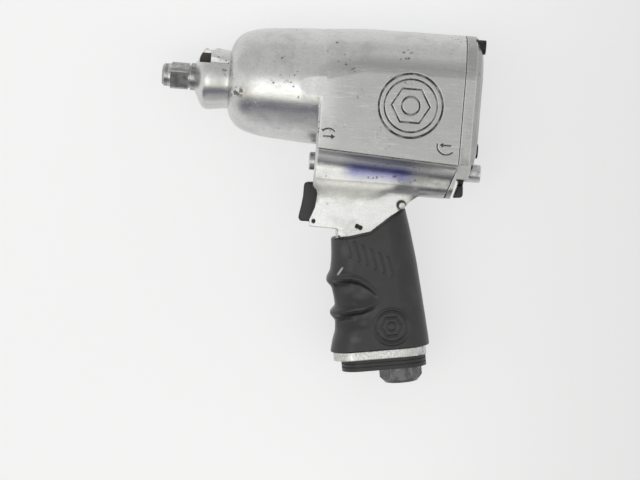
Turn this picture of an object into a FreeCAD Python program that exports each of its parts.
import FreeCAD, Part
import math
import os

# Half-inch square-drive pneumatic impact wrench with a pistol grip.
# Millimetres. The spindle lies along X and drives towards -X, +Z is up and the handle hangs down.
# The origin is on the spindle axis, at the shoulder where a socket seats.

os.makedirs("parts", exist_ok=True)

V = FreeCAD.Vector
ALONG_X = V(1, 0, 0)
ALONG_Y = V(0, 1, 0)
ALONG_Z = V(0, 0, 1)

# ---- fits ----------------------------------------------------------------------------------------
RUN_FIT = 0.05          # radial clearance of a turning or sliding fit
SEAT_FIT = 0.03         # radial clearance of a piece that is pressed or clamped in place
FACE_GAP = 0.3          # gap between faces that move past each other
JOINT_GAP = 0.5         # gasket thickness between housing and cover
OVERSHOOT = 5.0         # how far a cutting tool runs past a face

# ---- stations along the spindle ------------------------------------------------------------------
DRIVE_LENGTH = 16.5     # socket shoulder to drive tip
NOSE_FRONT = 2.5        # front face of the nose
BELL_FRONT = 23.0       # where the bell grows out of the nose
BODY_FRONT = 75.6       # front of the square motor body
BODY_LENGTH = 81.2      # motor body from its front to the cover seam
SEAM = BODY_FRONT + BODY_LENGTH
COVER_FRONT = SEAM + JOINT_GAP
COVER_THICKNESS = 10.6
COVER_REAR = COVER_FRONT + COVER_THICKNESS

# ---- anvil and its bushing -----------------------------------------------------------------------
SQUARE = 12.7           # across flats of the drive
SQUARE_CORNER_R = 8.0   # the corners are turned down to this radius
SQUARE_TURN = 22.0      # rest angle of the square about the spindle
SQUARE_FRONT = -DRIVE_LENGTH + 5.0
SHOULDER_STEP = 1.2
SQUARE_BACK = -SHOULDER_STEP
TIP_R = 6.6
TIP_CHAMFER = 1.2
GROOVE_R = 4.9
GROOVE_FRONT = -DRIVE_LENGTH + 3.4
COLLAR_R = 7.9
COLLAR_CLEARANCE = 0.7
JOURNAL_R = 11.0
JOURNAL_FRONT = 12.4
BUSHING_WALL = 3.0
BUSHING_FRONT = 12.0
CHAMBER_FRONT = 28.0
THRUST_R = JOURNAL_R + 4.5
THRUST_LENGTH = 3.2
SHAFT_R = 9.0
JAW_R = 12.0
JAW_HALF_WIDTH = 3.0
PILOT_R = 6.0
PILOT_LENGTH = 2.2
RETAINER_SECTION = 0.55
RETAINER_GAP = 0.1
RETAINER_STAND = 0.15
RETAINER_SPLIT = 0.8

# ---- hammer mechanism ----------------------------------------------------------------------------
CHAMBER_R = 25.8
CHAMBER_MOUTH_R = 20.0
CHAMBER_TAPER = 4.5
CAGE_R = 25.2
CAGE_FRONT = 33.5
CAGE_FRONT_DISC = 5.0
CAGE_REAR_DISC = 7.5
HAMMER_GAP = 0.45
MOTOR_SETBACK = 8.4     # motor front plate behind the body's front face
PLATE_FRONT = BODY_FRONT + MOTOR_SETBACK
CAGE_TO_PLATE = 3.05
HAMMER_ROOM = PLATE_FRONT - CAGE_TO_PLATE - CAGE_REAR_DISC - CAGE_FRONT - CAGE_FRONT_DISC
HAMMER_LENGTH = (HAMMER_ROOM - 3 * HAMMER_GAP) / 2
PILLAR_INNER_R = 21.4
PILLAR_HALF_ANGLE = 34.0
HAMMER_PIN_R = 3.3
HAMMER_PIN_ORBIT = 20.4
HAMMER_PIN_INSET = 1.0
HAMMER_R = 20.5
HAMMER_BORE_R = 14.0
HAMMER_LUG_R = 10.8
HAMMER_LUG_HALF = 4.0
HAMMER_SWING_ROOM = 3.2

# ---- air motor -----------------------------------------------------------------------------------
MOTOR_CORE_R = 27.0
MOTOR_BORE_R = MOTOR_CORE_R + RUN_FIT
FRONT_PLATE = 11.0
REAR_PLATE = 9.0
MOTOR_END_ROOM = 2.8    # between the motor's rear plate and the cover seam
LINER_LENGTH = BODY_LENGTH - MOTOR_SETBACK - FRONT_PLATE - REAR_PLATE - MOTOR_END_ROOM
LINER_WALL = 4.0
LINER_BORE_R = MOTOR_CORE_R - LINER_WALL
LINER_OFFSET = 2.0
ROTOR_TIP_GAP = 0.1
ROTOR_R = LINER_BORE_R - LINER_OFFSET - ROTOR_TIP_GAP
ROTOR_END_GAP = 0.1
ROTOR_SHAFT_R = 6.0
SHAFT_HOLE_R = ROTOR_SHAFT_R + 1.5
VANE_COUNT = 6
VANE_THICKNESS = 2.0
VANE_ROOT_R = 8.5
VANE_SLOT_R = 8.3
VANE_INSET = 0.15
SPLINE_ROOT_R = 4.6
SPLINE_TIP_R = 5.7
SPLINE_TEETH = 8
SPLINE_TOOTH = 1.6
SPLINE_LENGTH = 4.4
PORT_COUNT = 4
PORT_R = 2.5
ALIGN_PIN_R = 1.5
ALIGN_PIN_ORBIT = MOTOR_CORE_R - 2.1
ALIGN_PIN_DEPTH = 4.0

# ---- ball bearings -------------------------------------------------------------------------------
BEARING_R = ROTOR_SHAFT_R + 8.0
BEARING_WIDTH = 8.0
BEARING_BORE_R = ROTOR_SHAFT_R
BALL_R = 2.0
BALL_ORBIT = (BEARING_R + BEARING_BORE_R) / 2
BALL_COUNT = 8
RACE_HALF_GAP = 1.2
OUTER_RACE_INNER_R = BALL_ORBIT + RACE_HALF_GAP
INNER_RACE_OUTER_R = BALL_ORBIT - RACE_HALF_GAP
BALL_CAGE_HALF_WALL = 0.6
BALL_CAGE_WIDTH = 5.0
BEARING_RECESS = 0.8

# ---- motor body outline, across the tool ---------------------------------------------------------
BODY_HALF_WIDTH = 33.0
BODY_TOP = 35.7
BODY_CORNER_R = 27.0
BODY_SPREAD = 24.0      # length over which the round bell spreads into the square body
LEDGE_Z = -36.0
LEDGE_DROP = 4.0        # how far the ledge falls from front to rear
LEDGE_BEVEL = 1.6
NECK_HALF_WIDTH = 19.5
COVE_DROP = 10.0        # height of the hollow under the ledge
NECK_FLOOR = -59.0
NECK_CORNER_R = 8.0
PANEL_SKIM = 0.05       # trimmed off the sides to leave true flats
FRONT_LIFT = 0.3
MIDDLE_DIP = 0.4
FRONT_FLAT = 1.0        # flat left on top of the body where it meets the bell
EDGE_BEVEL = 1.5

# ---- nose and bell outlines: station along X, radius ---------------------------------------------
NOSE_OUTLINE = [(3.1, 8.9), (4.7, 12.2), (6.1, 15.0), (8.2, 17.4), (12.0, 18.1), (26.0, 19.2)]
BELL_TOP_R = 33.5
BELL_OUTLINE = [(BELL_FRONT, 19.0), (24.8, 22.9), (29.2, 27.3), (36.0, 30.1), (BODY_FRONT - 21.1, 32.3),
                (BODY_FRONT - 9.1, 33.2), (BODY_FRONT + 3.4, BELL_TOP_R)]
NOSE_LIP = 0.6
NOSE_SHELF_Z = 8.6
NOSE_BLOCK_HALF = 13.2
NOSE_BLOCK_FRONT = 11.6
NOSE_POCKET_FRONT = 4.9
NOSE_POCKET_HALF = 6.2
NOSE_GAP_FRONT = 22.2
NOSE_NOTCH = (11.2, 19.4)
NOSE_NOTCH_R = 3.4

# ---- reverse spool and power lever ---------------------------------------------------------------
SPOOL_R = 5.25
SPOOL_Z = -43.4
SPOOL_FRONT = BODY_FRONT - 3.3
SPOOL_REAR = COVER_REAR + 4.6
SPOOL_NECK_R = 3.4
SPOOL_NECK_STARTS = [PLATE_FRONT + 16.0, PLATE_FRONT + 33.0]
SPOOL_NECK_LENGTH = 12.0
SPOOL_NECKS = [(x, x + SPOOL_NECK_LENGTH) for x in SPOOL_NECK_STARTS]
SPOOL_RING_STATIONS = [BODY_FRONT + 12.4, SEAM - 6.8]
SPOOL_BORE_LEAD = 10.0
RING_GROOVE_ROOM = 0.2
SPOOL_RING_R = 0.9
SPOOL_BEVEL = 0.5
DETENT_X = SEAM - 16.8
DETENT_BALL_R = 1.5
DETENT_HOLE_R = 1.6
DETENT_SCREW_R = 2.4
DETENT_SCREW_LENGTH = 3.0
DETENT_SLOT = (0.4, 0.8)
LEVER_HUB_R = 8.2
LEVER_HUB_FRONT = COVER_FRONT + 2.65
LEVER_HUB_LENGTH = 2.8
LEVER_HALF_WIDTH = 4.5
LEVER_OUTLINE = [(LEVER_HUB_FRONT - 0.05, -51.0), (LEVER_HUB_FRONT + 2.8, -51.0), (LEVER_HUB_FRONT + 3.15, -56.6),
                 (LEVER_HUB_FRONT + 2.15, -57.9), (LEVER_HUB_FRONT - 2.25, -58.4)]
LEVER_POCKET_CLEARANCE = 0.3

# ---- rear cover ----------------------------------------------------------------------------------
COVER_STRAIGHT = 5.8
COVER_DOME = [(COVER_THICKNESS - 2.2, 2.6), (COVER_THICKNESS - 0.6, 8.0), (COVER_THICKNESS, 14.0)]
COVER_LOW_Z = -38.0
SEAM_KNEE_Z = -41.0
SEAM_LEAN = 18.0
FLANGE_THICKNESS = 3.4
FLANGE_LIFT = 0.4
FLANGE_UNDERCUT = 1.3
FLANGE_STEP_Z = -46.9
FLANGE_STEP_X = COVER_FRONT + 6.7
FLANGE_SHOULDER_X = COVER_FRONT + 8.1
SPIGOT_R = MOTOR_CORE_R - 0.5
SPIGOT_WALL = 4.5
GASKET_INSET = 0.4
SCREW_PLACES = [(16.0, 29.5), (-16.0, 29.5), (19.5, -30.0), (-19.5, -30.0)]
SCREW_R = 2.4
SCREW_HEAD_R = 4.1
SCREW_HEAD_LENGTH = 4.8
SCREW_LENGTH = 24.0
SCREW_SEAT = COVER_REAR - 5.5
SCREW_HEX_R = 2.2
SCREW_HEX_DEPTH = 2.6
WASHER_THICKNESS = 1.0
WASHER_R = 4.0

# ---- handle, built upright and then leaned back about the inlet axis -----------------------------
HANDLE_LEAN = 9.3
HANDLE_BASE = V(133.9, 0, -152.3)
CORE_TOP = 88.0
CORE_BOTTOM_SPAN = (-36.0, 14.5)
CORE_TOP_SPAN = (-30.5, 7.5)
CORE_HALF_WIDTH = 15.0
CORE_CORNER_R = 10.0
BAND_HEIGHT = 5.0
BAND_SPAN = (-38.6, 15.8)
BAND_HALF_WIDTH = 17.5
BAND_CORNER_R = 13.0
SLEEVE_FIT = 0.05
SLEEVE_REACH = 60.0
SLEEVE_BELOW = -200.0
SLEEVE_HALF_WIDTH = 18.4
SLEEVE_CORNER_R = 14.0
SLEEVE_SECTIONS = [(5.1, -40.0, 17.9), (10.0, -38.8, 17.7), (18.3, -36.3, 17.1), (23.0, -36.0, 16.8),
                   (27.9, -38.6, 16.4), (32.3, -35.1, 16.1), (42.5, -36.4, 15.3), (47.4, -39.2, 14.9),
                   (53.6, -36.2, 14.4), (64.0, -34.7, 13.2), (72.0, -34.3, 12.2), (88.0, -33.5, 9.8)]
SLEEVE_TOP = [(88.0, -87.3), (99.7, -85.1), (111.1, -81.6), (122.1, -71.6), (129.8, -65.7), (136.0, -63.5)]
ROOT_HALF_WIDTH = 15.5
ROOT_OUTLINE = [(76.2, -50.0), (76.6, -56.0), (78.7, -61.5), (77.9, -69.2), (76.4, -73.5), (75.2, -76.5),
                (75.2, -80.6), (92.3, -81.0), (92.3, -85.9), (99.7, -84.6), (111.1, -81.1),
                (122.1, -71.1), (129.6, -65.3), (132.0, -62.0), (138.0, -57.5), (138.0, -50.0)]
HANDLE_SLOT = (103.9, -78.9)
HANDLE_SLOT_SIZE = (4.0, 2.3, 2.0)
HANDLE_SLOT_TURN = 20.0
FLARE_SECTION = [(19.5, -48.0), (19.5, -52.0), (18.7, -55.5), (17.2, -59.2), (15.5, -64.0)]
FLARE_OUTLINE = [(76.6, -48.0), (76.6, -56.0), (78.7, -61.5), (78.4, -64.0), (103.0, -64.0), (114.0, -60.5),
                 (122.0, -55.5), (128.0, -48.0)]
REAR_BOSS = (127.6, -64.4)
REAR_BOSS_R = 2.2
REAR_BOSS_STAND = 1.0

# ---- trigger and throttle ------------------------------------------------------------------------
TRIGGER_OUTLINE = [(71.6, -55.9), (76.8, -55.4), (82.0, -57.0), (82.0, -70.0), (80.6, -78.0), (78.0, -80.2),
                   (74.6, -78.5), (69.8, -78.6), (68.5, -76.7), (69.7, -69.9), (70.4, -63.9), (70.4, -57.2)]
TRIGGER_HALF_WIDTH = 6.2
TRIGGER_SLOT = [(60.0, -54.6), (88.0, -54.6), (88.0, -72.0), (83.5, -82.5), (60.0, -82.5)]
TRIGGER_PIVOT = (77.6, -77.5)
TRIGGER_PIN_R = 1.15
THROTTLE_Z = -64.0
PLUNGER_R = 2.0
PLUNGER_FRONT = 82.3
PLUNGER_REAR = 116.9
BUSH_FRONT = 88.2
BUSH_LENGTH = 12.0
BUSH_R = 4.0
THROTTLE_BORE_R = PLUNGER_R + 0.6
THROTTLE_END_ROOM = 2.0
FEED_BOTTOM = -68.0
FEED_R = 4.2
FEED_SHIFT = 2.0
DUCT_BOTTOM = -90.0
VALVE_DISC_TOP = 59.5
VALVE_DISC_R = 5.5
VALVE_DISC_THICKNESS = 2.5
VALVE_STEM_R = 1.8
VALVE_STEM_TOP = 92.0
SEAT_HOLE_R = 4.2
SEAT_THICKNESS = 3.0
PASSAGE_R = 7.0
PASSAGE_TOP = 93.5
SPRING_WIRE_R = 0.5
SPRING_COIL_R = 4.4
SPRING_PITCH = 3.4
SPRING_HEIGHT = 14.0
DETENT_SPRING_COIL_R = 1.05
DETENT_SPRING_WIRE_R = 0.25
DETENT_SPRING_PITCH = 0.9

# ---- inlet and exhaust ---------------------------------------------------------------------------
INLET_HEX = 21.6
INLET_BORE_R = 5.6
INLET_BORE_LENGTH = 18.0
INLET_CHOKE_R = 4.5
INLET_THREAD_R = 9.5
INLET_TOP = 22.0
INLET_BOTTOM = -15.9
INLET_FLANGE_R = 11.6
INLET_FLANGE = 1.6
INLET_NUT_TIP_R = 9.6
INLET_NUT_CHAMFER = 3.2
INLET_RING_R = 1.0
INLET_RING_Z = 8.0
SCREEN_THICKNESS = 1.2
SCREEN_HOLE_R = 0.9
SCREEN_RINGS = [(2.6, 6), (4.9, 12)]
DEFLECTOR_SPAN = (-34.2, 15.3)
DEFLECTOR_HALF_WIDTH = 15.0
DEFLECTOR_CORNER_R = 12.0
DEFLECTOR_HEIGHT = 6.8
DEFLECTOR_GROOVES = [-2.4, -4.6]
DEFLECTOR_GROOVE = 0.9
DEFLECTOR_POCKET_SPAN = (-31.0, -13.5)
DEFLECTOR_POCKET_HALF = 10.5
DEFLECTOR_POCKET_CORNER = 4.0
DEFLECTOR_FLOOR = 1.8
EXHAUST_SPAN = (-32.5, -13.5)
EXHAUST_HALF_WIDTH = 10.5
EXHAUST_CORNER_R = 6.0
EXHAUST_TOP = 70.0
EXHAUST_SLOTS = 4
EXHAUST_SLOT = 2.2
EXHAUST_SLOT_HALF = 8.0
SILENCER_HEIGHT = 20.0
DUCT_R = 3.6
DUCT_HALF_SPACING = 9.0
DUCT_X = 101.0

# ---- marks on the side panels --------------------------------------------------------------------
MARK_DEPTH = 0.5
EMBLEM_PLACE = (127.3, -7.1)
EMBLEM_RINGS = [(18.7, 17.5), (15.4, 14.5), (5.6, 4.6)]
EMBLEM_HEX_R = 11.4
EMBLEM_HEX_LINE = 1.0
MARK_HALF_LINE = 0.35
ARROW_HALF_HEAD = 1.3
ARROW_HEAD = 2.2
REAR_ARROW = (152.2, 145.4, -27.9)
FRONT_ARROW = (79.2, 86.0, -27.9)
REAR_CURL = (149.2, -28.0, 5.2, 130.0, 150.0)
FRONT_CURL = (82.2, -28.0, 4.6, -50.0, 100.0)


# ---- shared shapes -------------------------------------------------------------------------------
def rod(x0, x1, radius, y=0.0, z=0.0):
    return Part.makeCylinder(radius, x1 - x0, V(x0, y, z), ALONG_X)


def ring(x0, x1, outer, inner, y=0.0, z=0.0):
    return rod(x0, x1, outer, y, z).cut(rod(x0 - OVERSHOOT, x1 + OVERSHOOT, inner, y, z))


def post(z0, z1, radius, x=0.0, y=0.0):
    return Part.makeCylinder(radius, z1 - z0, V(x, y, z0), ALONG_Z)


def block(x0, x1, y0, y1, z0, z1):
    return Part.makeBox(x1 - x0, y1 - y0, z1 - z0, V(x0, y0, z0))


def plate(points, half_width):
    """Prism across the tool from an outline of (x, z) points."""
    corners = [V(x, -half_width, z) for x, z in points]
    face = Part.Face(Part.makePolygon(corners + corners[:1]))
    return face.extrude(V(0, 2 * half_width, 0))


def turned(points):
    """Solid of revolution about the spindle from (x, radius) corners."""
    corners = [V(x, 0, radius) for x, radius in points]
    face = Part.Face(Part.makePolygon(corners + corners[:1]))
    return face.revolve(V(0, 0, 0), ALONG_X, 360)


def turned_curve(points):
    """Solid of revolution about the spindle under a smooth curve through (x, radius) points."""
    curve = Part.BSplineCurve()
    curve.interpolate([V(x, 0, radius) for x, radius in points])
    start = points[0]
    end = points[-1]
    corners = [V(end[0], 0, end[1]), V(end[0], 0, 0), V(start[0], 0, 0), V(start[0], 0, start[1])]
    closing = Part.makePolygon(corners)
    face = Part.Face(Part.Wire([curve.toShape()] + closing.Edges))
    return face.revolve(V(0, 0, 0), ALONG_X, 360)


def rounded_wire(x0, x1, half_width, corner, z):
    """Rounded rectangle in a level plane."""
    turn = corner * (1 - math.sqrt(0.5))
    x_low = x0 + corner
    x_high = x1 - corner
    y_high = half_width - corner
    edges = [
        Part.makeLine(V(x_low, half_width, z), V(x_high, half_width, z)),
        Part.Arc(V(x_high, half_width, z), V(x1 - turn, half_width - turn, z), V(x1, y_high, z)).toShape(),
        Part.makeLine(V(x1, y_high, z), V(x1, -y_high, z)),
        Part.Arc(V(x1, -y_high, z), V(x1 - turn, turn - half_width, z), V(x_high, -half_width, z)).toShape(),
        Part.makeLine(V(x_high, -half_width, z), V(x_low, -half_width, z)),
        Part.Arc(V(x_low, -half_width, z), V(x0 + turn, turn - half_width, z), V(x0, -y_high, z)).toShape(),
        Part.makeLine(V(x0, -y_high, z), V(x0, y_high, z)),
        Part.Arc(V(x0, y_high, z), V(x0 + turn, half_width - turn, z), V(x_low, half_width, z)).toShape(),
    ]
    return Part.Wire(edges)


def rounded_block(x0, x1, half_width, corner, z0, z1):
    return Part.Face(rounded_wire(x0, x1, half_width, corner, z0)).extrude(V(0, 0, z1 - z0))


def lean(shape):
    """Move a shape built on the upright handle axis to its leaned place."""
    placed = shape.copy()
    placed.rotate(V(0, 0, 0), ALONG_Y, -HANDLE_LEAN)
    placed.translate(HANDLE_BASE)
    return placed


def fuse_all(shapes):
    return shapes[0].multiFuse(shapes[1:])


def cut_all(shape, tools):
    return shape.cut(tools)


def both_sides(shape):
    """The shape and its mirror image across the tool's middle plane."""
    return [shape, shape.mirror(V(0, 0, 0), ALONG_Y)]


def coil(wire_r, coil_r, pitch, height):
    """Upright helical spring standing on the level plane."""
    path = Part.makeHelix(pitch, height, coil_r)
    circle = Part.Wire(Part.makeCircle(wire_r, V(coil_r, 0, 0), ALONG_Y))
    return Part.Wire(path).makePipeShell([circle], True, True)


def save(name, shape):
    pieces = shape.Solids
    kept = pieces[0] if len(pieces) == 1 else Part.makeCompound(pieces)
    kept.exportStep("parts/" + name + ".step")
    volume = round(sum(piece.Volume for piece in pieces), 1)
    print(name, len(pieces), volume, all(piece.isValid() for piece in pieces))


# ---- housing -------------------------------------------------------------------------------------
def body_section(x, top, full_corner, drop, inset):
    """Outline of the motor body across the tool at one station."""
    ledge = LEDGE_Z - drop + inset
    side = BODY_HALF_WIDTH + PANEL_SKIM - inset
    edge = side - LEDGE_BEVEL
    hollow = ledge - COVE_DROP
    cove_turn = math.sqrt(0.5)
    corner = full_corner - inset
    neck = NECK_HALF_WIDTH - inset
    floor = NECK_FLOOR + inset
    turn = corner * (1 - math.sqrt(0.5))
    low_turn = NECK_CORNER_R * (1 - math.sqrt(0.5))
    right = [
        Part.makeLine(V(x, 0, top), V(x, side - corner, top)),
        Part.Arc(V(x, side - corner, top), V(x, side - turn, top - turn), V(x, side, top - corner)).toShape(),
        Part.makeLine(V(x, side, top - corner), V(x, side, ledge + LEDGE_BEVEL)),
        Part.makeLine(V(x, side, ledge + LEDGE_BEVEL), V(x, edge, ledge)),
        Part.Arc(V(x, edge, ledge), V(x, edge - cove_turn * (edge - neck), hollow + cove_turn * COVE_DROP),
                 V(x, neck, hollow)).toShape(),
        Part.makeLine(V(x, neck, hollow), V(x, neck, floor + NECK_CORNER_R)),
        Part.Arc(V(x, neck, floor + NECK_CORNER_R), V(x, neck - low_turn, floor + low_turn),
                 V(x, neck - NECK_CORNER_R, floor)).toShape(),
        Part.makeLine(V(x, neck - NECK_CORNER_R, floor), V(x, 0, floor)),
    ]
    left = [edge.mirror(V(0, 0, 0), ALONG_Y) for edge in right]
    return Part.Wire(Part.__sortEdges__(right + left))


def rear_section(x, inset):
    return body_section(x, BODY_TOP - inset, BODY_CORNER_R, LEDGE_DROP, inset)


def body_block():
    round_corner = BODY_HALF_WIDTH - FRONT_FLAT
    front_top = BELL_TOP_R + FRONT_LIFT
    middle = BODY_FRONT + BODY_SPREAD
    sections = [
        body_section(BODY_FRONT, front_top - FRONT_LIFT, round_corner, 0.0, EDGE_BEVEL),
        body_section(BODY_FRONT + EDGE_BEVEL, front_top, round_corner, 0.0, 0.0),
        body_section(middle, BODY_TOP - MIDDLE_DIP, BODY_CORNER_R, LEDGE_DROP * BODY_SPREAD / BODY_LENGTH, 0.0),
        rear_section(SEAM, 0.0),
    ]
    return Part.makeLoft(sections, True, True)


def behind_seam(offset):
    """Everything behind the slanted lower seam, moved back by offset."""
    drop = 30.0
    reach = 40.0
    knee = SEAM + offset
    slant = drop * math.tan(math.radians(SEAM_LEAN))
    points = [(knee, SEAM_KNEE_Z), (knee - slant, SEAM_KNEE_Z - drop), (knee + reach, SEAM_KNEE_Z - drop),
              (knee + reach, SEAM_KNEE_Z)]
    return plate(points, BODY_HALF_WIDTH)


def nose():
    hub = turned_curve(NOSE_OUTLINE)
    brow = NOSE_OUTLINE[0]
    far = MOTOR_BORE_R
    lip = turned([(NOSE_FRONT, 0), (NOSE_FRONT, brow[1] - NOSE_LIP), brow, (brow[0], 0)])
    shelf = block(NOSE_BLOCK_FRONT, NOSE_GAP_FRONT, NOSE_BLOCK_HALF, far, NOSE_SHELF_Z, far)
    pocket = block(NOSE_POCKET_FRONT, NOSE_BLOCK_FRONT, NOSE_POCKET_HALF, far, NOSE_SHELF_Z, far)
    notch = Part.makeCylinder(NOSE_NOTCH_R, 2 * far, V(NOSE_NOTCH[0], -far, NOSE_NOTCH[1]), ALONG_Y)
    return cut_all(hub.fuse(lip), both_sides(shelf) + both_sides(pocket) + [notch])


def handle_core():
    low = rounded_wire(*CORE_BOTTOM_SPAN, CORE_HALF_WIDTH, CORE_CORNER_R, 0.0)
    high = rounded_wire(*CORE_TOP_SPAN, CORE_HALF_WIDTH, CORE_CORNER_R, CORE_TOP)
    core = Part.makeLoft([low, high], True, True)
    band = rounded_block(*BAND_SPAN, BAND_HALF_WIDTH, BAND_CORNER_R, 0.0, BAND_HEIGHT)
    return lean(core.fuse(band))


def spindle_cavity():
    collar_hole = rod(NOSE_FRONT - OVERSHOOT, BUSHING_FRONT + 1, COLLAR_R + COLLAR_CLEARANCE)
    bushing_seat = rod(BUSHING_FRONT, CHAMBER_FRONT + 1, JOURNAL_R + RUN_FIT + BUSHING_WALL + SEAT_FIT)
    chamber = turned([(CHAMBER_FRONT, 0), (CHAMBER_FRONT, CHAMBER_MOUTH_R), (CHAMBER_FRONT + CHAMBER_TAPER, CHAMBER_R),
                      (PLATE_FRONT, CHAMBER_R), (PLATE_FRONT, MOTOR_BORE_R), (SEAM + OVERSHOOT, MOTOR_BORE_R),
                      (SEAM + OVERSHOOT, 0)])
    return fuse_all([collar_hole, bushing_seat, chamber])


def handle_cavities():
    thread = post(-OVERSHOOT, INLET_TOP + SEAT_FIT, INLET_THREAD_R + SEAT_FIT)
    passage = post(INLET_TOP - 1, PASSAGE_TOP, PASSAGE_R)
    exhaust = rounded_block(*EXHAUST_SPAN, EXHAUST_HALF_WIDTH, EXHAUST_CORNER_R, -OVERSHOOT, EXHAUST_TOP)
    return [lean(thread), lean(passage), lean(exhaust)]


def valve_cavities():
    spool_bore = rod(BODY_FRONT - SPOOL_BORE_LEAD, SEAM + OVERSHOOT, SPOOL_R + RUN_FIT, 0, SPOOL_Z)
    ports = [post(SPOOL_Z, -LINER_BORE_R, PORT_R, sum(neck) / 2) for neck in SPOOL_NECKS]
    feed_x = 0.5 * (SPOOL_NECKS[0][1] + SPOOL_NECKS[1][0]) + FEED_SHIFT
    feed = post(FEED_BOTTOM, SPOOL_Z, FEED_R, feed_x)
    mouth = BUSH_FRONT - THROTTLE_END_ROOM
    throttle = rod(mouth, PLUNGER_REAR + THROTTLE_END_ROOM, THROTTLE_BORE_R, 0, THROTTLE_Z)
    bush_seat = rod(mouth, BUSH_FRONT + BUSH_LENGTH, BUSH_R + SEAT_FIT, 0, THROTTLE_Z)
    detent = post(NECK_FLOOR - OVERSHOOT, SPOOL_Z, DETENT_HOLE_R, DETENT_X)
    thread_top = NECK_FLOOR + DETENT_SCREW_LENGTH
    detent_thread = post(NECK_FLOOR - OVERSHOOT, thread_top, DETENT_SCREW_R + SEAT_FIT, DETENT_X)
    ducts = both_sides(post(DUCT_BOTTOM, -LINER_BORE_R, DUCT_R, DUCT_X, DUCT_HALF_SPACING))
    return [spool_bore, feed, throttle, bush_seat, detent, detent_thread] + ports + ducts


def trigger_cavities():
    slot = plate(TRIGGER_SLOT, TRIGGER_HALF_WIDTH + FACE_GAP)
    pin_hole = Part.makeCylinder(TRIGGER_PIN_R + SEAT_FIT, 2 * BODY_HALF_WIDTH,
                                 V(TRIGGER_PIVOT[0], -BODY_HALF_WIDTH, TRIGGER_PIVOT[1]), ALONG_Y)
    return [slot, pin_hole]


def emblem():
    """Generic badge: two rings round a hexagon nut."""
    place = V(EMBLEM_PLACE[0], 0, EMBLEM_PLACE[1])
    lines = []
    for outer, inner in EMBLEM_RINGS:
        disc = Part.makeCylinder(outer, MARK_DEPTH + 1, place, ALONG_Y)
        lines.append(disc.cut(Part.makeCylinder(inner, MARK_DEPTH + 1, place, ALONG_Y)))
    outline = []
    for radius in (EMBLEM_HEX_R, EMBLEM_HEX_R - EMBLEM_HEX_LINE):
        corners = [place + V(radius * math.cos(math.pi / 3 * k), 0, radius * math.sin(math.pi / 3 * k))
                   for k in range(6)]
        outline.append(Part.Face(Part.makePolygon(corners + corners[:1])).extrude(V(0, MARK_DEPTH + 1, 0)))
    lines.append(outline[0].cut(outline[1]))
    return lines


def arrow(tail_x, head_x, z):
    """Straight engraved arrow along the side panel."""
    way = 1.0 if head_x > tail_x else -1.0
    shaft = [(tail_x, z - MARK_HALF_LINE), (head_x - way, z - MARK_HALF_LINE), (head_x - way, z + MARK_HALF_LINE),
             (tail_x, z + MARK_HALF_LINE)]
    head = [(head_x - ARROW_HEAD * way, z - ARROW_HALF_HEAD), (head_x, z),
            (head_x - ARROW_HEAD * way, z + ARROW_HALF_HEAD)]
    thickness = 0.5 * (MARK_DEPTH + 1)
    shapes = [plate(shaft, thickness), plate(head, thickness)]
    for shape in shapes:
        shape.translate(V(0, thickness, 0))
    return shapes


def curl(x, z, radius, start, sweep):
    """Engraved arc of a turning arrow."""
    outer = Part.makeCylinder(radius + MARK_HALF_LINE, MARK_DEPTH + 1, V(0, 0, 0), ALONG_Y, sweep)
    inner = Part.makeCylinder(radius - MARK_HALF_LINE, MARK_DEPTH + 1, V(0, 0, 0), ALONG_Y, sweep)
    arc = outer.cut(inner)
    arc.rotate(V(0, 0, 0), ALONG_Y, start)
    arc.translate(V(x, 0, z))
    return arc


def side_marks():
    marks = emblem()
    marks += arrow(*REAR_ARROW) + arrow(*FRONT_ARROW)
    marks += [curl(*REAR_CURL), curl(*FRONT_CURL)]
    for mark in marks:
        mark.translate(V(0, -BODY_HALF_WIDTH - 1, 0))
    return marks


def root_flare():
    """Shoulder that runs the block out into the top of the handle."""
    side = [V(0, y, z) for y, z in FLARE_SECTION]
    corners = side + [V(0, -point.y, point.z) for point in reversed(side)]
    wedge = Part.Face(Part.makePolygon(corners + corners[:1])).extrude(V(SEAM, 0, 0))
    return wedge.common(plate(FLARE_OUTLINE, BODY_HALF_WIDTH))


def rear_boss():
    return Part.makeCylinder(REAR_BOSS_R, 2 * (ROOT_HALF_WIDTH + REAR_BOSS_STAND),
                             V(REAR_BOSS[0], -ROOT_HALF_WIDTH - REAR_BOSS_STAND, REAR_BOSS[1]), ALONG_Y)


def handle_slot():
    length, height, depth = HANDLE_SLOT_SIZE
    x, z = HANDLE_SLOT
    side = -ROOT_HALF_WIDTH
    slot = block(x - length / 2, x + length / 2, side - 1, side + depth, z - height / 2, z + height / 2)
    slot.rotate(V(x, 0, z), ALONG_Y, HANDLE_SLOT_TURN)
    return slot


def screw_holes():
    start = SCREW_SEAT - SCREW_LENGTH
    return [rod(start, SEAM + OVERSHOOT, SCREW_R + SEAT_FIT, y, z) for y, z in SCREW_PLACES]


def housing():
    flanks = block(0, 2 * SEAM, -BODY_HALF_WIDTH, BODY_HALF_WIDTH, 2 * NECK_FLOOR, 2 * BODY_TOP)
    body = fuse_all([body_block(), turned_curve(BELL_OUTLINE)]).common(flanks)
    outer = fuse_all([body, nose(), plate(ROOT_OUTLINE, ROOT_HALF_WIDTH), root_flare(), handle_core(), rear_boss()])
    tools = [spindle_cavity(), behind_seam(0.0), handle_slot()]
    tools += handle_cavities() + valve_cavities() + trigger_cavities() + screw_holes() + side_marks()
    return cut_all(outer, tools)


# ---- spindle -------------------------------------------------------------------------------------
def square_drive():
    half = SQUARE / 2
    square = block(SQUARE_FRONT, SQUARE_BACK, -half, half, -half, half)
    square = square.common(rod(SQUARE_FRONT, SQUARE_BACK, SQUARE_CORNER_R))
    square.rotate(V(0, 0, 0), ALONG_X, SQUARE_TURN)
    return square


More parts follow.
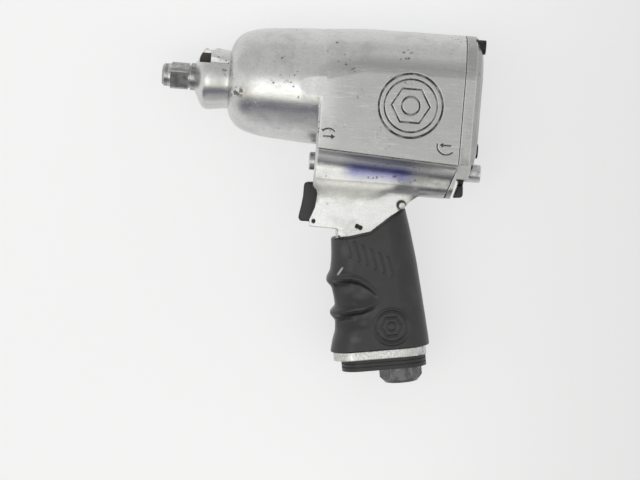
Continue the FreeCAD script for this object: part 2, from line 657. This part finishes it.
def anvil():
    tip = turned([(-DRIVE_LENGTH, 0), (-DRIVE_LENGTH, TIP_R - TIP_CHAMFER), (-DRIVE_LENGTH + TIP_CHAMFER, TIP_R),
                  (GROOVE_FRONT, TIP_R), (GROOVE_FRONT, GROOVE_R), (SQUARE_FRONT, GROOVE_R), (SQUARE_FRONT, 0)])
    shaft = turned([(SQUARE_BACK, 0), (SQUARE_BACK, COLLAR_R - SHOULDER_STEP), (0, COLLAR_R - SHOULDER_STEP), (0, COLLAR_R),
                    (JOURNAL_FRONT, COLLAR_R), (JOURNAL_FRONT, JOURNAL_R), (CHAMBER_FRONT + FACE_GAP, JOURNAL_R),
                    (CHAMBER_FRONT + FACE_GAP, THRUST_R), (CHAMBER_FRONT + FACE_GAP + THRUST_LENGTH, THRUST_R),
                    (CHAMBER_FRONT + FACE_GAP + THRUST_LENGTH, SHAFT_R), (cage_rear_face() - FACE_GAP, SHAFT_R),
                    (cage_rear_face() - FACE_GAP, PILOT_R), (cage_rear_face() + PILOT_LENGTH, PILOT_R),
                    (cage_rear_face() + PILOT_LENGTH, 0)])
    jaws = block(cage_front_face() + HAMMER_GAP, cage_rear_face() - HAMMER_GAP, -JAW_HALF_WIDTH, JAW_HALF_WIDTH,
                 -JAW_R, JAW_R)
    jaws = jaws.common(rod(CAGE_FRONT, PLATE_FRONT, JAW_R))
    return fuse_all([tip, square_drive(), shaft, jaws])


def anvil_bushing():
    return ring(BUSHING_FRONT, CHAMBER_FRONT, JOURNAL_R + RUN_FIT + BUSHING_WALL, JOURNAL_R + RUN_FIT)


def retainer_o_ring():
    middle = 0.5 * (GROOVE_FRONT + SQUARE_FRONT)
    return Part.makeTorus(GROOVE_R + RETAINER_SECTION + SEAT_FIT, RETAINER_SECTION, V(middle, 0, 0), ALONG_X)


def retainer_ring():
    inner = GROOVE_R + 2 * RETAINER_SECTION + 3 * SEAT_FIT
    split = block(-DRIVE_LENGTH, 0, -RETAINER_SPLIT, RETAINER_SPLIT, 0, TIP_R + OVERSHOOT)
    return ring(GROOVE_FRONT + RETAINER_GAP, SQUARE_FRONT - RETAINER_GAP, TIP_R + RETAINER_STAND, inner).cut(split)


# ---- hammer mechanism ----------------------------------------------------------------------------
def cage_front_face():
    return CAGE_FRONT + CAGE_FRONT_DISC


def cage_rear_face():
    return cage_front_face() + 2 * HAMMER_LENGTH + 3 * HAMMER_GAP


def cage_rear():
    return cage_rear_face() + CAGE_REAR_DISC


def pin_places():
    return [HAMMER_PIN_ORBIT, -HAMMER_PIN_ORBIT]


def hammer_cage():
    front_disc = ring(CAGE_FRONT, cage_front_face(), CAGE_R, SHAFT_R + RUN_FIT)
    rear_disc = rod(cage_rear_face(), cage_rear(), CAGE_R)
    wall = ring(cage_front_face() - 1, cage_rear_face() + 1, CAGE_R, PILLAR_INNER_R)
    reach = CAGE_R * math.tan(math.radians(90 - PILLAR_HALF_ANGLE))
    window_points = [V(0, 0, 0), V(0, 2 * CAGE_R, 2 * reach), V(0, 2 * CAGE_R, -2 * reach)]
    window_face = Part.Face(Part.makePolygon(window_points + window_points[:1]))
    window_face.translate(V(cage_front_face(), 0, 0))
    window = window_face.extrude(V(cage_rear_face() - cage_front_face(), 0, 0))
    body = fuse_all([front_disc, rear_disc, cut_all(wall, both_sides(window))])
    pilot = rod(cage_rear_face() - 1, cage_rear_face() + PILOT_LENGTH + FACE_GAP, PILOT_R + RUN_FIT)
    socket = spline(SEAT_FIT, cage_rear_face() + PILOT_LENGTH + FACE_GAP, cage_rear() + 1)
    holes = [rod(CAGE_FRONT + HAMMER_PIN_INSET, cage_rear() - HAMMER_PIN_INSET, HAMMER_PIN_R + SEAT_FIT, 0, z)
             for z in pin_places()]
    return cut_all(body, [pilot, socket] + holes)


def hammer_pins():
    return Part.makeCompound([rod(CAGE_FRONT + HAMMER_PIN_INSET, cage_rear() - HAMMER_PIN_INSET, HAMMER_PIN_R, 0, z)
                              for z in pin_places()])


def hammer(x0, pivot_z):
    """Ring hammer that swings on one pin; the notch round the other pin limits its swing."""
    x1 = x0 + HAMMER_LENGTH
    body = ring(x0, x1, HAMMER_R, HAMMER_BORE_R)
    lug = block(x0, x1, 0, HAMMER_BORE_R + 1, -HAMMER_LUG_HALF, HAMMER_LUG_HALF)
    lug = lug.cut(rod(x0 - 1, x1 + 1, HAMMER_LUG_R))
    pivot = rod(x0 - 1, x1 + 1, HAMMER_PIN_R + RUN_FIT, 0, pivot_z)
    half = HAMMER_PIN_R + HAMMER_SWING_ROOM
    deep = HAMMER_PIN_ORBIT - HAMMER_PIN_R - FACE_GAP
    low, high = sorted([-math.copysign(deep, pivot_z), -math.copysign(2 * HAMMER_PIN_ORBIT, pivot_z)])
    notch = block(x0 - 1, x1 + 1, -half, half, low, high)
    return cut_all(fuse_all([body] + both_sides(lug)), [pivot, notch])


# ---- air motor -----------------------------------------------------------------------------------
def spline(clearance, x0, x1):
    core = rod(x0, x1, SPLINE_ROOT_R + clearance)
    half = SPLINE_TOOTH / 2 + clearance
    teeth = []
    for index in range(SPLINE_TEETH):
        tooth = block(x0, x1, -half, half, 0, SPLINE_TIP_R + clearance)
        tooth.rotate(V(0, 0, 0), ALONG_X, index * 360.0 / SPLINE_TEETH)
        teeth.append(tooth)
    return fuse_all([core] + teeth)


def liner_front():
    return PLATE_FRONT + FRONT_PLATE


def liner_rear():
    return liner_front() + LINER_LENGTH


def front_bearing_x():
    return PLATE_FRONT + BEARING_RECESS


def rear_bearing_x():
    return liner_rear() + REAR_PLATE - BEARING_WIDTH - BEARING_RECESS * 0.25


def align_hole(x):
    return rod(x - ALIGN_PIN_DEPTH, x + ALIGN_PIN_DEPTH, ALIGN_PIN_R + SEAT_FIT, 0, ALIGN_PIN_ORBIT)


def front_end_plate():
    body = rod(PLATE_FRONT, liner_front(), MOTOR_CORE_R)
    pocket = rod(PLATE_FRONT - 1, front_bearing_x() + BEARING_WIDTH, BEARING_R + SEAT_FIT)
    hole = rod(PLATE_FRONT, liner_front() + 1, SHAFT_HOLE_R)
    return cut_all(body, [pocket, hole, align_hole(liner_front())])


def rear_end_plate():
    body = rod(liner_rear(), liner_rear() + REAR_PLATE, MOTOR_CORE_R)
    pocket = rod(rear_bearing_x(), liner_rear() + REAR_PLATE + 1, BEARING_R + SEAT_FIT)
    hole = rod(liner_rear() - 1, liner_rear() + REAR_PLATE, SHAFT_HOLE_R)
    return cut_all(body, [pocket, hole, align_hole(liner_rear())])


def cylinder_liner():
    body = rod(liner_front(), liner_rear(), MOTOR_CORE_R)
    bore = rod(liner_front() - 1, liner_rear() + 1, LINER_BORE_R, 0, -LINER_OFFSET)
    ports = [post(-MOTOR_CORE_R - 1, -ROTOR_R, PORT_R, sum(neck) / 2) for neck in SPOOL_NECKS]
    step = LINER_LENGTH / (PORT_COUNT + 1)
    for index in range(PORT_COUNT):
        port = Part.makeCylinder(PORT_R, MOTOR_CORE_R, V(liner_front() + (index + 1) * step, 0, 0), ALONG_Y)
        ports.append(port)
    return cut_all(body, [bore, align_hole(liner_front()), align_hole(liner_rear())] + ports)


def alignment_pins():
    ends = [liner_front(), liner_rear()]
    depth = ALIGN_PIN_DEPTH - FACE_GAP
    return Part.makeCompound([rod(x - depth, x + depth, ALIGN_PIN_R, 0, ALIGN_PIN_ORBIT) for x in ends])


def vane_box(half_thickness, low, high):
    x0 = liner_front() + ROTOR_END_GAP
    x1 = liner_rear() - ROTOR_END_GAP
    vanes = []
    for index in range(VANE_COUNT):
        vane = block(x0, x1, -half_thickness, half_thickness, low, high)
        vane.rotate(V(0, 0, 0), ALONG_X, (index + 0.5) * 360.0 / VANE_COUNT)
        vanes.append(vane)
    return vanes


def rotor():
    drum = rod(liner_front() + ROTOR_END_GAP, liner_rear() - ROTOR_END_GAP, ROTOR_R)
    shaft = rod(PLATE_FRONT - 1, liner_rear() + REAR_PLATE, ROTOR_SHAFT_R - SEAT_FIT)
    tail = spline(0.0, cage_rear() - SPLINE_LENGTH, PLATE_FRONT)
    slots = vane_box(VANE_THICKNESS / 2 + SEAT_FIT, VANE_SLOT_R, 2 * ROTOR_R)
    return fuse_all([cut_all(drum, slots), shaft, tail])


def rotor_vanes():
    return Part.makeCompound(vane_box(VANE_THICKNESS / 2, VANE_ROOT_R, ROTOR_R - VANE_INSET))


# ---- bearings ------------------------------------------------------------------------------------
def ball_path(x0):
    return Part.makeTorus(BALL_ORBIT, BALL_R + RUN_FIT, V(x0 + BEARING_WIDTH / 2, 0, 0), ALONG_X)


def outer_race(x0):
    return ring(x0, x0 + BEARING_WIDTH, BEARING_R, OUTER_RACE_INNER_R).cut(ball_path(x0))


def inner_race(x0):
    return ring(x0, x0 + BEARING_WIDTH, INNER_RACE_OUTER_R, BEARING_BORE_R).cut(ball_path(x0))


def ball_centres(x0):
    turns = [2 * math.pi * index / BALL_COUNT for index in range(BALL_COUNT)]
    return [V(x0 + BEARING_WIDTH / 2, BALL_ORBIT * math.cos(t), BALL_ORBIT * math.sin(t)) for t in turns]


def balls(x0):
    return Part.makeCompound([Part.makeSphere(BALL_R, centre) for centre in ball_centres(x0)])


def ball_cage(x0):
    middle = x0 + BEARING_WIDTH / 2
    half = BALL_CAGE_WIDTH / 2
    body = ring(middle - half, middle + half, BALL_ORBIT + BALL_CAGE_HALF_WALL, BALL_ORBIT - BALL_CAGE_HALF_WALL)
    return cut_all(body, [Part.makeSphere(BALL_R + RUN_FIT, centre) for centre in ball_centres(x0)])


# ---- rear cover ----------------------------------------------------------------------------------
def cover_gasket():
    outline = rear_section(SEAM, GASKET_INSET)
    sheet = Part.Face(outline).extrude(V(JOINT_GAP, 0, 0))
    reach = 2 * BODY_HALF_WIDTH
    keep = block(SEAM - 1, SEAM + 2, -reach, reach, COVER_LOW_Z, reach)
    holes = [rod(SEAM - 1, SEAM + 2, MOTOR_BORE_R)]
    holes.append(rod(SEAM - 1, SEAM + 2, SPOOL_R + RUN_FIT, 0, SPOOL_Z))
    holes += [rod(SEAM - 1, SEAM + 2, SCREW_R + SEAT_FIT, y, z) for y, z in SCREW_PLACES]
    return cut_all(sheet.common(keep), holes)


def cover_cap():
    sections = [rear_section(COVER_FRONT, 0.0), rear_section(COVER_FRONT + COVER_STRAIGHT, 0.0)]
    sections += [rear_section(COVER_FRONT + depth, inset) for depth, inset in COVER_DOME]
    cap = Part.makeLoft(sections[:3], True, True)
    for index in range(2, len(sections) - 1):
        cap = cap.fuse(Part.makeLoft(sections[index:index + 2], True, True))
    keep = block(SEAM, 2 * SEAM, -BODY_HALF_WIDTH, BODY_HALF_WIDTH, COVER_LOW_Z, 2 * BODY_HALF_WIDTH)
    return cap.common(keep)


def cover_flange():
    """Slanted tongue of the cover below its cap, round the reverse spool."""
    slope = math.tan(math.radians(SEAM_LEAN))
    bottom = NECK_FLOOR + FLANGE_LIFT
    low_x = COVER_FRONT - (SEAM_KNEE_Z - bottom) * slope
    step_x = COVER_FRONT - (SEAM_KNEE_Z - FLANGE_STEP_Z) * slope
    points = [(COVER_FRONT, COVER_LOW_Z), (COVER_FRONT, SEAM_KNEE_Z), (low_x, bottom),
              (low_x + FLANGE_THICKNESS, bottom), (step_x + FLANGE_THICKNESS - FLANGE_UNDERCUT, FLANGE_STEP_Z),
              (FLANGE_STEP_X, FLANGE_STEP_Z), (FLANGE_SHOULDER_X, COVER_LOW_Z)]
    tongue = plate(points, NECK_HALF_WIDTH)
    keep = Part.Face(rear_section(SEAM - 20, 0.0)).extrude(V(40, 0, 0))
    return tongue.common(keep)


def rear_cover():
    spigot = ring(liner_rear() + REAR_PLATE + FACE_GAP, COVER_FRONT + 1, SPIGOT_R, SPIGOT_R - SPIGOT_WALL)
    body = fuse_all([cover_cap(), cover_flange(), spigot])
    tools = [rod(SEAM - OVERSHOOT * 3, 2 * SEAM, SPOOL_R + FACE_GAP, 0, SPOOL_Z)]
    hub_rear = LEVER_HUB_FRONT + LEVER_HUB_LENGTH
    tools.append(rod(LEVER_HUB_FRONT - LEVER_POCKET_CLEARANCE, hub_rear + LEVER_POCKET_CLEARANCE,
                     LEVER_HUB_R + LEVER_POCKET_CLEARANCE, 0, SPOOL_Z))
    for y, z in SCREW_PLACES:
        tools.append(rod(SEAM, SCREW_SEAT + 1, SCREW_R + SEAT_FIT, y, z))
        tools.append(rod(SCREW_SEAT, 2 * SEAM, SCREW_HEAD_R + FACE_GAP, y, z))
    return cut_all(body, tools)


def cover_screws():
    screws = []
    for y, z in SCREW_PLACES:
        head_x = SCREW_SEAT + WASHER_THICKNESS
        head = rod(head_x, head_x + SCREW_HEAD_LENGTH, SCREW_HEAD_R, y, z)
        shank = rod(SCREW_SEAT - SCREW_LENGTH + 1, head_x + 1, SCREW_R, y, z)
        key_x = head_x + SCREW_HEAD_LENGTH - SCREW_HEX_DEPTH
        corners = [V(key_x, y + SCREW_HEX_R * math.cos(math.pi / 3 * k), z + SCREW_HEX_R * math.sin(math.pi / 3 * k))
                   for k in range(6)]
        key = Part.Face(Part.makePolygon(corners + corners[:1])).extrude(V(SCREW_HEX_DEPTH + 1, 0, 0))
        screws.append(head.fuse(shank).cut(key))
    return Part.makeCompound(screws)


def screw_washers():
    return Part.makeCompound([ring(SCREW_SEAT, SCREW_SEAT + WASHER_THICKNESS, WASHER_R, SCREW_R + SEAT_FIT, y, z)
                              for y, z in SCREW_PLACES])


# ---- reverse spool and power lever ---------------------------------------------------------------
def ring_groove(x):
    return ring(x - SPOOL_RING_R - RING_GROOVE_ROOM, x + SPOOL_RING_R + RING_GROOVE_ROOM, SPOOL_R + 1,
                SPOOL_R - 2 * SPOOL_RING_R, 0, SPOOL_Z)


def reverse_spool():
    body = rod(SPOOL_FRONT, SPOOL_REAR, SPOOL_R, 0, SPOOL_Z)
    ends = [edge for edge in body.Edges if len(edge.Vertexes) == 1]
    body = body.makeChamfer(SPOOL_BEVEL, ends)
    necks = [ring(x0, x1, SPOOL_R + 1, SPOOL_NECK_R, 0, SPOOL_Z) for x0, x1 in SPOOL_NECKS]
    return cut_all(body, necks + [ring_groove(x) for x in SPOOL_RING_STATIONS])


def spool_o_rings():
    orbit = SPOOL_R - SPOOL_RING_R
    return Part.makeCompound([Part.makeTorus(orbit, SPOOL_RING_R - SEAT_FIT, V(x, 0, SPOOL_Z), ALONG_X)
                              for x in SPOOL_RING_STATIONS])


def detent_ball_z():
    return SPOOL_Z - SPOOL_R - DETENT_BALL_R - RUN_FIT


def detent_ball():
    return Part.makeSphere(DETENT_BALL_R, V(DETENT_X, 0, detent_ball_z()))


def detent_spring():
    foot = NECK_FLOOR + DETENT_SCREW_LENGTH + DETENT_SPRING_WIRE_R + RUN_FIT
    head = detent_ball_z() - DETENT_BALL_R - DETENT_SPRING_WIRE_R - RUN_FIT
    spring = coil(DETENT_SPRING_WIRE_R, DETENT_SPRING_COIL_R, DETENT_SPRING_PITCH, head - foot)
    spring.translate(V(DETENT_X, 0, foot))
    return spring


def detent_screw():
    body = post(NECK_FLOOR, NECK_FLOOR + DETENT_SCREW_LENGTH, DETENT_SCREW_R, DETENT_X)
    half, depth = DETENT_SLOT
    slot = block(DETENT_X - OVERSHOOT, DETENT_X + OVERSHOOT, -half, half, NECK_FLOOR - 1, NECK_FLOOR + depth)
    return body.cut(slot)


def regulator_lever():
    hub_rear = LEVER_HUB_FRONT + LEVER_HUB_LENGTH
    hub = rod(LEVER_HUB_FRONT, hub_rear, LEVER_HUB_R, 0, SPOOL_Z)
    arm = plate(LEVER_OUTLINE, LEVER_HALF_WIDTH)
    hole = rod(LEVER_HUB_FRONT - OVERSHOOT, hub_rear + OVERSHOOT, SPOOL_R + RUN_FIT, 0, SPOOL_Z)
    return hub.fuse(arm).cut(hole)


# ---- trigger and throttle ------------------------------------------------------------------------
def trigger():
    body = plate(TRIGGER_OUTLINE, TRIGGER_HALF_WIDTH)
    hole = Part.makeCylinder(TRIGGER_PIN_R + RUN_FIT, 4 * TRIGGER_HALF_WIDTH,
                             V(TRIGGER_PIVOT[0], -2 * TRIGGER_HALF_WIDTH, TRIGGER_PIVOT[1]), ALONG_Y)
    return body.cut(hole)


def trigger_pin():
    return Part.makeCylinder(TRIGGER_PIN_R, 2 * ROOT_HALF_WIDTH,
                             V(TRIGGER_PIVOT[0], -ROOT_HALF_WIDTH, TRIGGER_PIVOT[1]), ALONG_Y)


def throttle_plunger():
    body = rod(PLUNGER_FRONT + PLUNGER_R, PLUNGER_REAR, PLUNGER_R, 0, THROTTLE_Z)
    nose_dome = Part.makeSphere(PLUNGER_R, V(PLUNGER_FRONT + PLUNGER_R, 0, THROTTLE_Z))
    return body.fuse(nose_dome)


def throttle_bushing():
    return ring(BUSH_FRONT, BUSH_FRONT + BUSH_LENGTH, BUSH_R, PLUNGER_R + RUN_FIT, 0, THROTTLE_Z)


def throttle_valve():
    disc = post(VALVE_DISC_TOP - VALVE_DISC_THICKNESS, VALVE_DISC_TOP, VALVE_DISC_R)
    stem = post(VALVE_DISC_TOP - 1, VALVE_STEM_TOP, VALVE_STEM_R)
    return lean(disc.fuse(stem))


def valve_seat():
    low = VALVE_DISC_TOP + RUN_FIT
    body = post(low, low + SEAT_THICKNESS, PASSAGE_R - SEAT_FIT)
    return lean(body.cut(post(low - 1, low + SEAT_THICKNESS + 1, SEAT_HOLE_R)))


def valve_spring():
    spring = coil(SPRING_WIRE_R, SPRING_COIL_R, SPRING_PITCH, SPRING_HEIGHT)
    spring.translate(V(0, 0, VALVE_DISC_TOP - VALVE_DISC_THICKNESS - SPRING_HEIGHT - SPRING_WIRE_R - RUN_FIT))
    return lean(spring)


# ---- grip, inlet and exhaust ---------------------------------------------------------------------
def grip_sleeve():
    wires = [rounded_wire(front, rear, SLEEVE_HALF_WIDTH, SLEEVE_CORNER_R, z) for z, front, rear in SLEEVE_SECTIONS]
    outer = lean(Part.makeLoft(wires, True, True))
    front_x = SLEEVE_TOP[0][0] - SLEEVE_REACH
    rear_x = SLEEVE_TOP[-1][0] + SLEEVE_REACH
    below = SLEEVE_TOP + [(rear_x, SLEEVE_TOP[-1][1]), (rear_x, SLEEVE_BELOW), (front_x, SLEEVE_BELOW),
                          (front_x, SLEEVE_TOP[0][1])]
    outer = outer.common(plate(below, BODY_HALF_WIDTH))
    fit = SLEEVE_FIT
    low = rounded_wire(CORE_BOTTOM_SPAN[0] - fit, CORE_BOTTOM_SPAN[1] + fit, CORE_HALF_WIDTH + fit,
                       CORE_CORNER_R + fit, 0.0)
    high = rounded_wire(CORE_TOP_SPAN[0] - fit, CORE_TOP_SPAN[1] + fit, CORE_HALF_WIDTH + fit,
                        CORE_CORNER_R + fit, CORE_TOP)
    cap = rounded_block(*CORE_TOP_SPAN, CORE_HALF_WIDTH, CORE_CORNER_R, CORE_TOP, CORE_TOP + 10)
    return cut_all(outer, [lean(Part.makeLoft([low, high], True, True)), lean(cap)])


def inlet_bushing():
    flat = INLET_HEX / 2
    corner = flat / math.cos(math.radians(30))
    points = [V(corner * math.cos(math.pi / 3 * k), corner * math.sin(math.pi / 3 * k), INLET_BOTTOM)
              for k in range(6)]
    hex_height = -DEFLECTOR_HEIGHT - FACE_GAP - INLET_BOTTOM
    nut = Part.Face(Part.makePolygon(points + points[:1])).extrude(V(0, 0, hex_height))
    wide_r = INLET_NUT_TIP_R + INLET_NUT_CHAMFER * math.sqrt(3)
    tip = Part.makeCone(INLET_NUT_TIP_R, wide_r, INLET_NUT_CHAMFER * 2, V(0, 0, INLET_BOTTOM), ALONG_Z)
    nut = nut.common(tip.fuse(post(INLET_BOTTOM + INLET_NUT_CHAMFER * 2, 0, INLET_HEX)))
    flange_z = -DEFLECTOR_HEIGHT - FACE_GAP
    flange = post(flange_z - INLET_FLANGE, flange_z, INLET_FLANGE_R)
    barrel = post(flange_z - 1, INLET_TOP, INLET_THREAD_R)
    bore = post(INLET_BOTTOM - 1, INLET_BOTTOM + INLET_BORE_LENGTH, INLET_BORE_R)
    choke = post(INLET_BOTTOM, INLET_TOP + 1, INLET_CHOKE_R)
    groove = post(INLET_RING_Z - INLET_RING_R, INLET_RING_Z + INLET_RING_R, 2 * INLET_THREAD_R)
    groove = groove.cut(post(-OVERSHOOT, INLET_TOP, INLET_THREAD_R - 2 * INLET_RING_R))
    return lean(cut_all(fuse_all([nut, flange, barrel]), [bore, choke, groove]))


def inlet_o_ring():
    return lean(Part.makeTorus(INLET_THREAD_R - INLET_RING_R, INLET_RING_R - SEAT_FIT, V(0, 0, INLET_RING_Z), ALONG_Z))


def inlet_screen():
    z0 = INLET_TOP + SEAT_FIT
    disc = post(z0, z0 + SCREEN_THICKNESS, PASSAGE_R - SEAT_FIT)
    holes = [post(z0 - 1, z0 + 2 * SCREEN_THICKNESS, SCREEN_HOLE_R)]
    for orbit, count in SCREEN_RINGS:
        for index in range(count):
            turn = 2 * math.pi * index / count
            holes.append(post(z0 - 1, z0 + 2 * SCREEN_THICKNESS, SCREEN_HOLE_R, orbit * math.cos(turn),
                              orbit * math.sin(turn)))
    return lean(cut_all(disc, holes))


def exhaust_deflector():
    x0, x1 = DEFLECTOR_SPAN
    top = -RUN_FIT
    floor = -DEFLECTOR_HEIGHT
    body = rounded_block(x0, x1, DEFLECTOR_HALF_WIDTH, DEFLECTOR_CORNER_R, floor, top)
    tools = [post(floor - 1, 1, INLET_THREAD_R + FACE_GAP)]
    for z in DEFLECTOR_GROOVES:
        depth = DEFLECTOR_GROOVE
        roof = z + depth
        wide = rounded_block(x0 - 1, x1 + 1, DEFLECTOR_HALF_WIDTH + 1, DEFLECTOR_CORNER_R + 1, z, roof)
        core = rounded_block(x0 + depth, x1 - depth, DEFLECTOR_HALF_WIDTH - depth, DEFLECTOR_CORNER_R - depth, z, roof)
        tools.append(wide.cut(core))
    tools.append(rounded_block(*DEFLECTOR_POCKET_SPAN, DEFLECTOR_POCKET_HALF, DEFLECTOR_POCKET_CORNER,
                               floor + DEFLECTOR_FLOOR, 1))
    pitch = (DEFLECTOR_POCKET_SPAN[1] - DEFLECTOR_POCKET_SPAN[0]) / (EXHAUST_SLOTS + 1)
    for index in range(EXHAUST_SLOTS):
        x = DEFLECTOR_POCKET_SPAN[0] + (index + 1) * pitch
        half = EXHAUST_SLOT / 2
        over = floor + DEFLECTOR_FLOOR + 1
        tools.append(block(x - half, x + half, -EXHAUST_SLOT_HALF, EXHAUST_SLOT_HALF, floor - 1, over))
    return lean(cut_all(body, tools))


def exhaust_silencer():
    x0, x1 = EXHAUST_SPAN
    return lean(rounded_block(x0 + SEAT_FIT, x1 - SEAT_FIT, EXHAUST_HALF_WIDTH - SEAT_FIT, EXHAUST_CORNER_R, 0.0,
                              SILENCER_HEIGHT))


# ---- all nodes -----------------------------------------------------------------------------------
save("housing", housing())
save("anvil_bushing", anvil_bushing())
save("anvil", anvil())
save("retainer_o_ring", retainer_o_ring())
save("retainer_ring", retainer_ring())
save("hammer_cage", hammer_cage())
save("hammer_pins", hammer_pins())
save("front_hammer", hammer(cage_front_face() + HAMMER_GAP, HAMMER_PIN_ORBIT))
save("rear_hammer", hammer(cage_front_face() + 2 * HAMMER_GAP + HAMMER_LENGTH, -HAMMER_PIN_ORBIT))
save("front_end_plate", front_end_plate())
save("cylinder_liner", cylinder_liner())
save("rear_end_plate", rear_end_plate())
save("alignment_pins", alignment_pins())
save("rotor", rotor())
save("rotor_vanes", rotor_vanes())
for place, start in (("front", front_bearing_x()), ("rear", rear_bearing_x())):
    save(place + "_bearing_outer_race", outer_race(start))
    save(place + "_bearing_inner_race", inner_race(start))
    save(place + "_bearing_balls", balls(start))
    save(place + "_bearing_cage", ball_cage(start))
save("cover_gasket", cover_gasket())
save("rear_cover", rear_cover())
save("cover_screws", cover_screws())
save("screw_washers", screw_washers())
save("reverse_spool", reverse_spool())
save("spool_o_rings", spool_o_rings())
save("detent_ball", detent_ball())
save("detent_spring", detent_spring())
save("detent_screw", detent_screw())
save("regulator_lever", regulator_lever())
save("trigger", trigger())
save("trigger_pin", trigger_pin())
save("throttle_plunger", throttle_plunger())
save("throttle_bushing", throttle_bushing())
save("throttle_valve", throttle_valve())
save("valve_seat", valve_seat())
save("valve_spring", valve_spring())
save("grip_sleeve", grip_sleeve())
save("inlet_bushing", inlet_bushing())
save("inlet_o_ring", inlet_o_ring())
save("inlet_screen", inlet_screen())
save("exhaust_deflector", exhaust_deflector())
save("exhaust_silencer", exhaust_silencer())
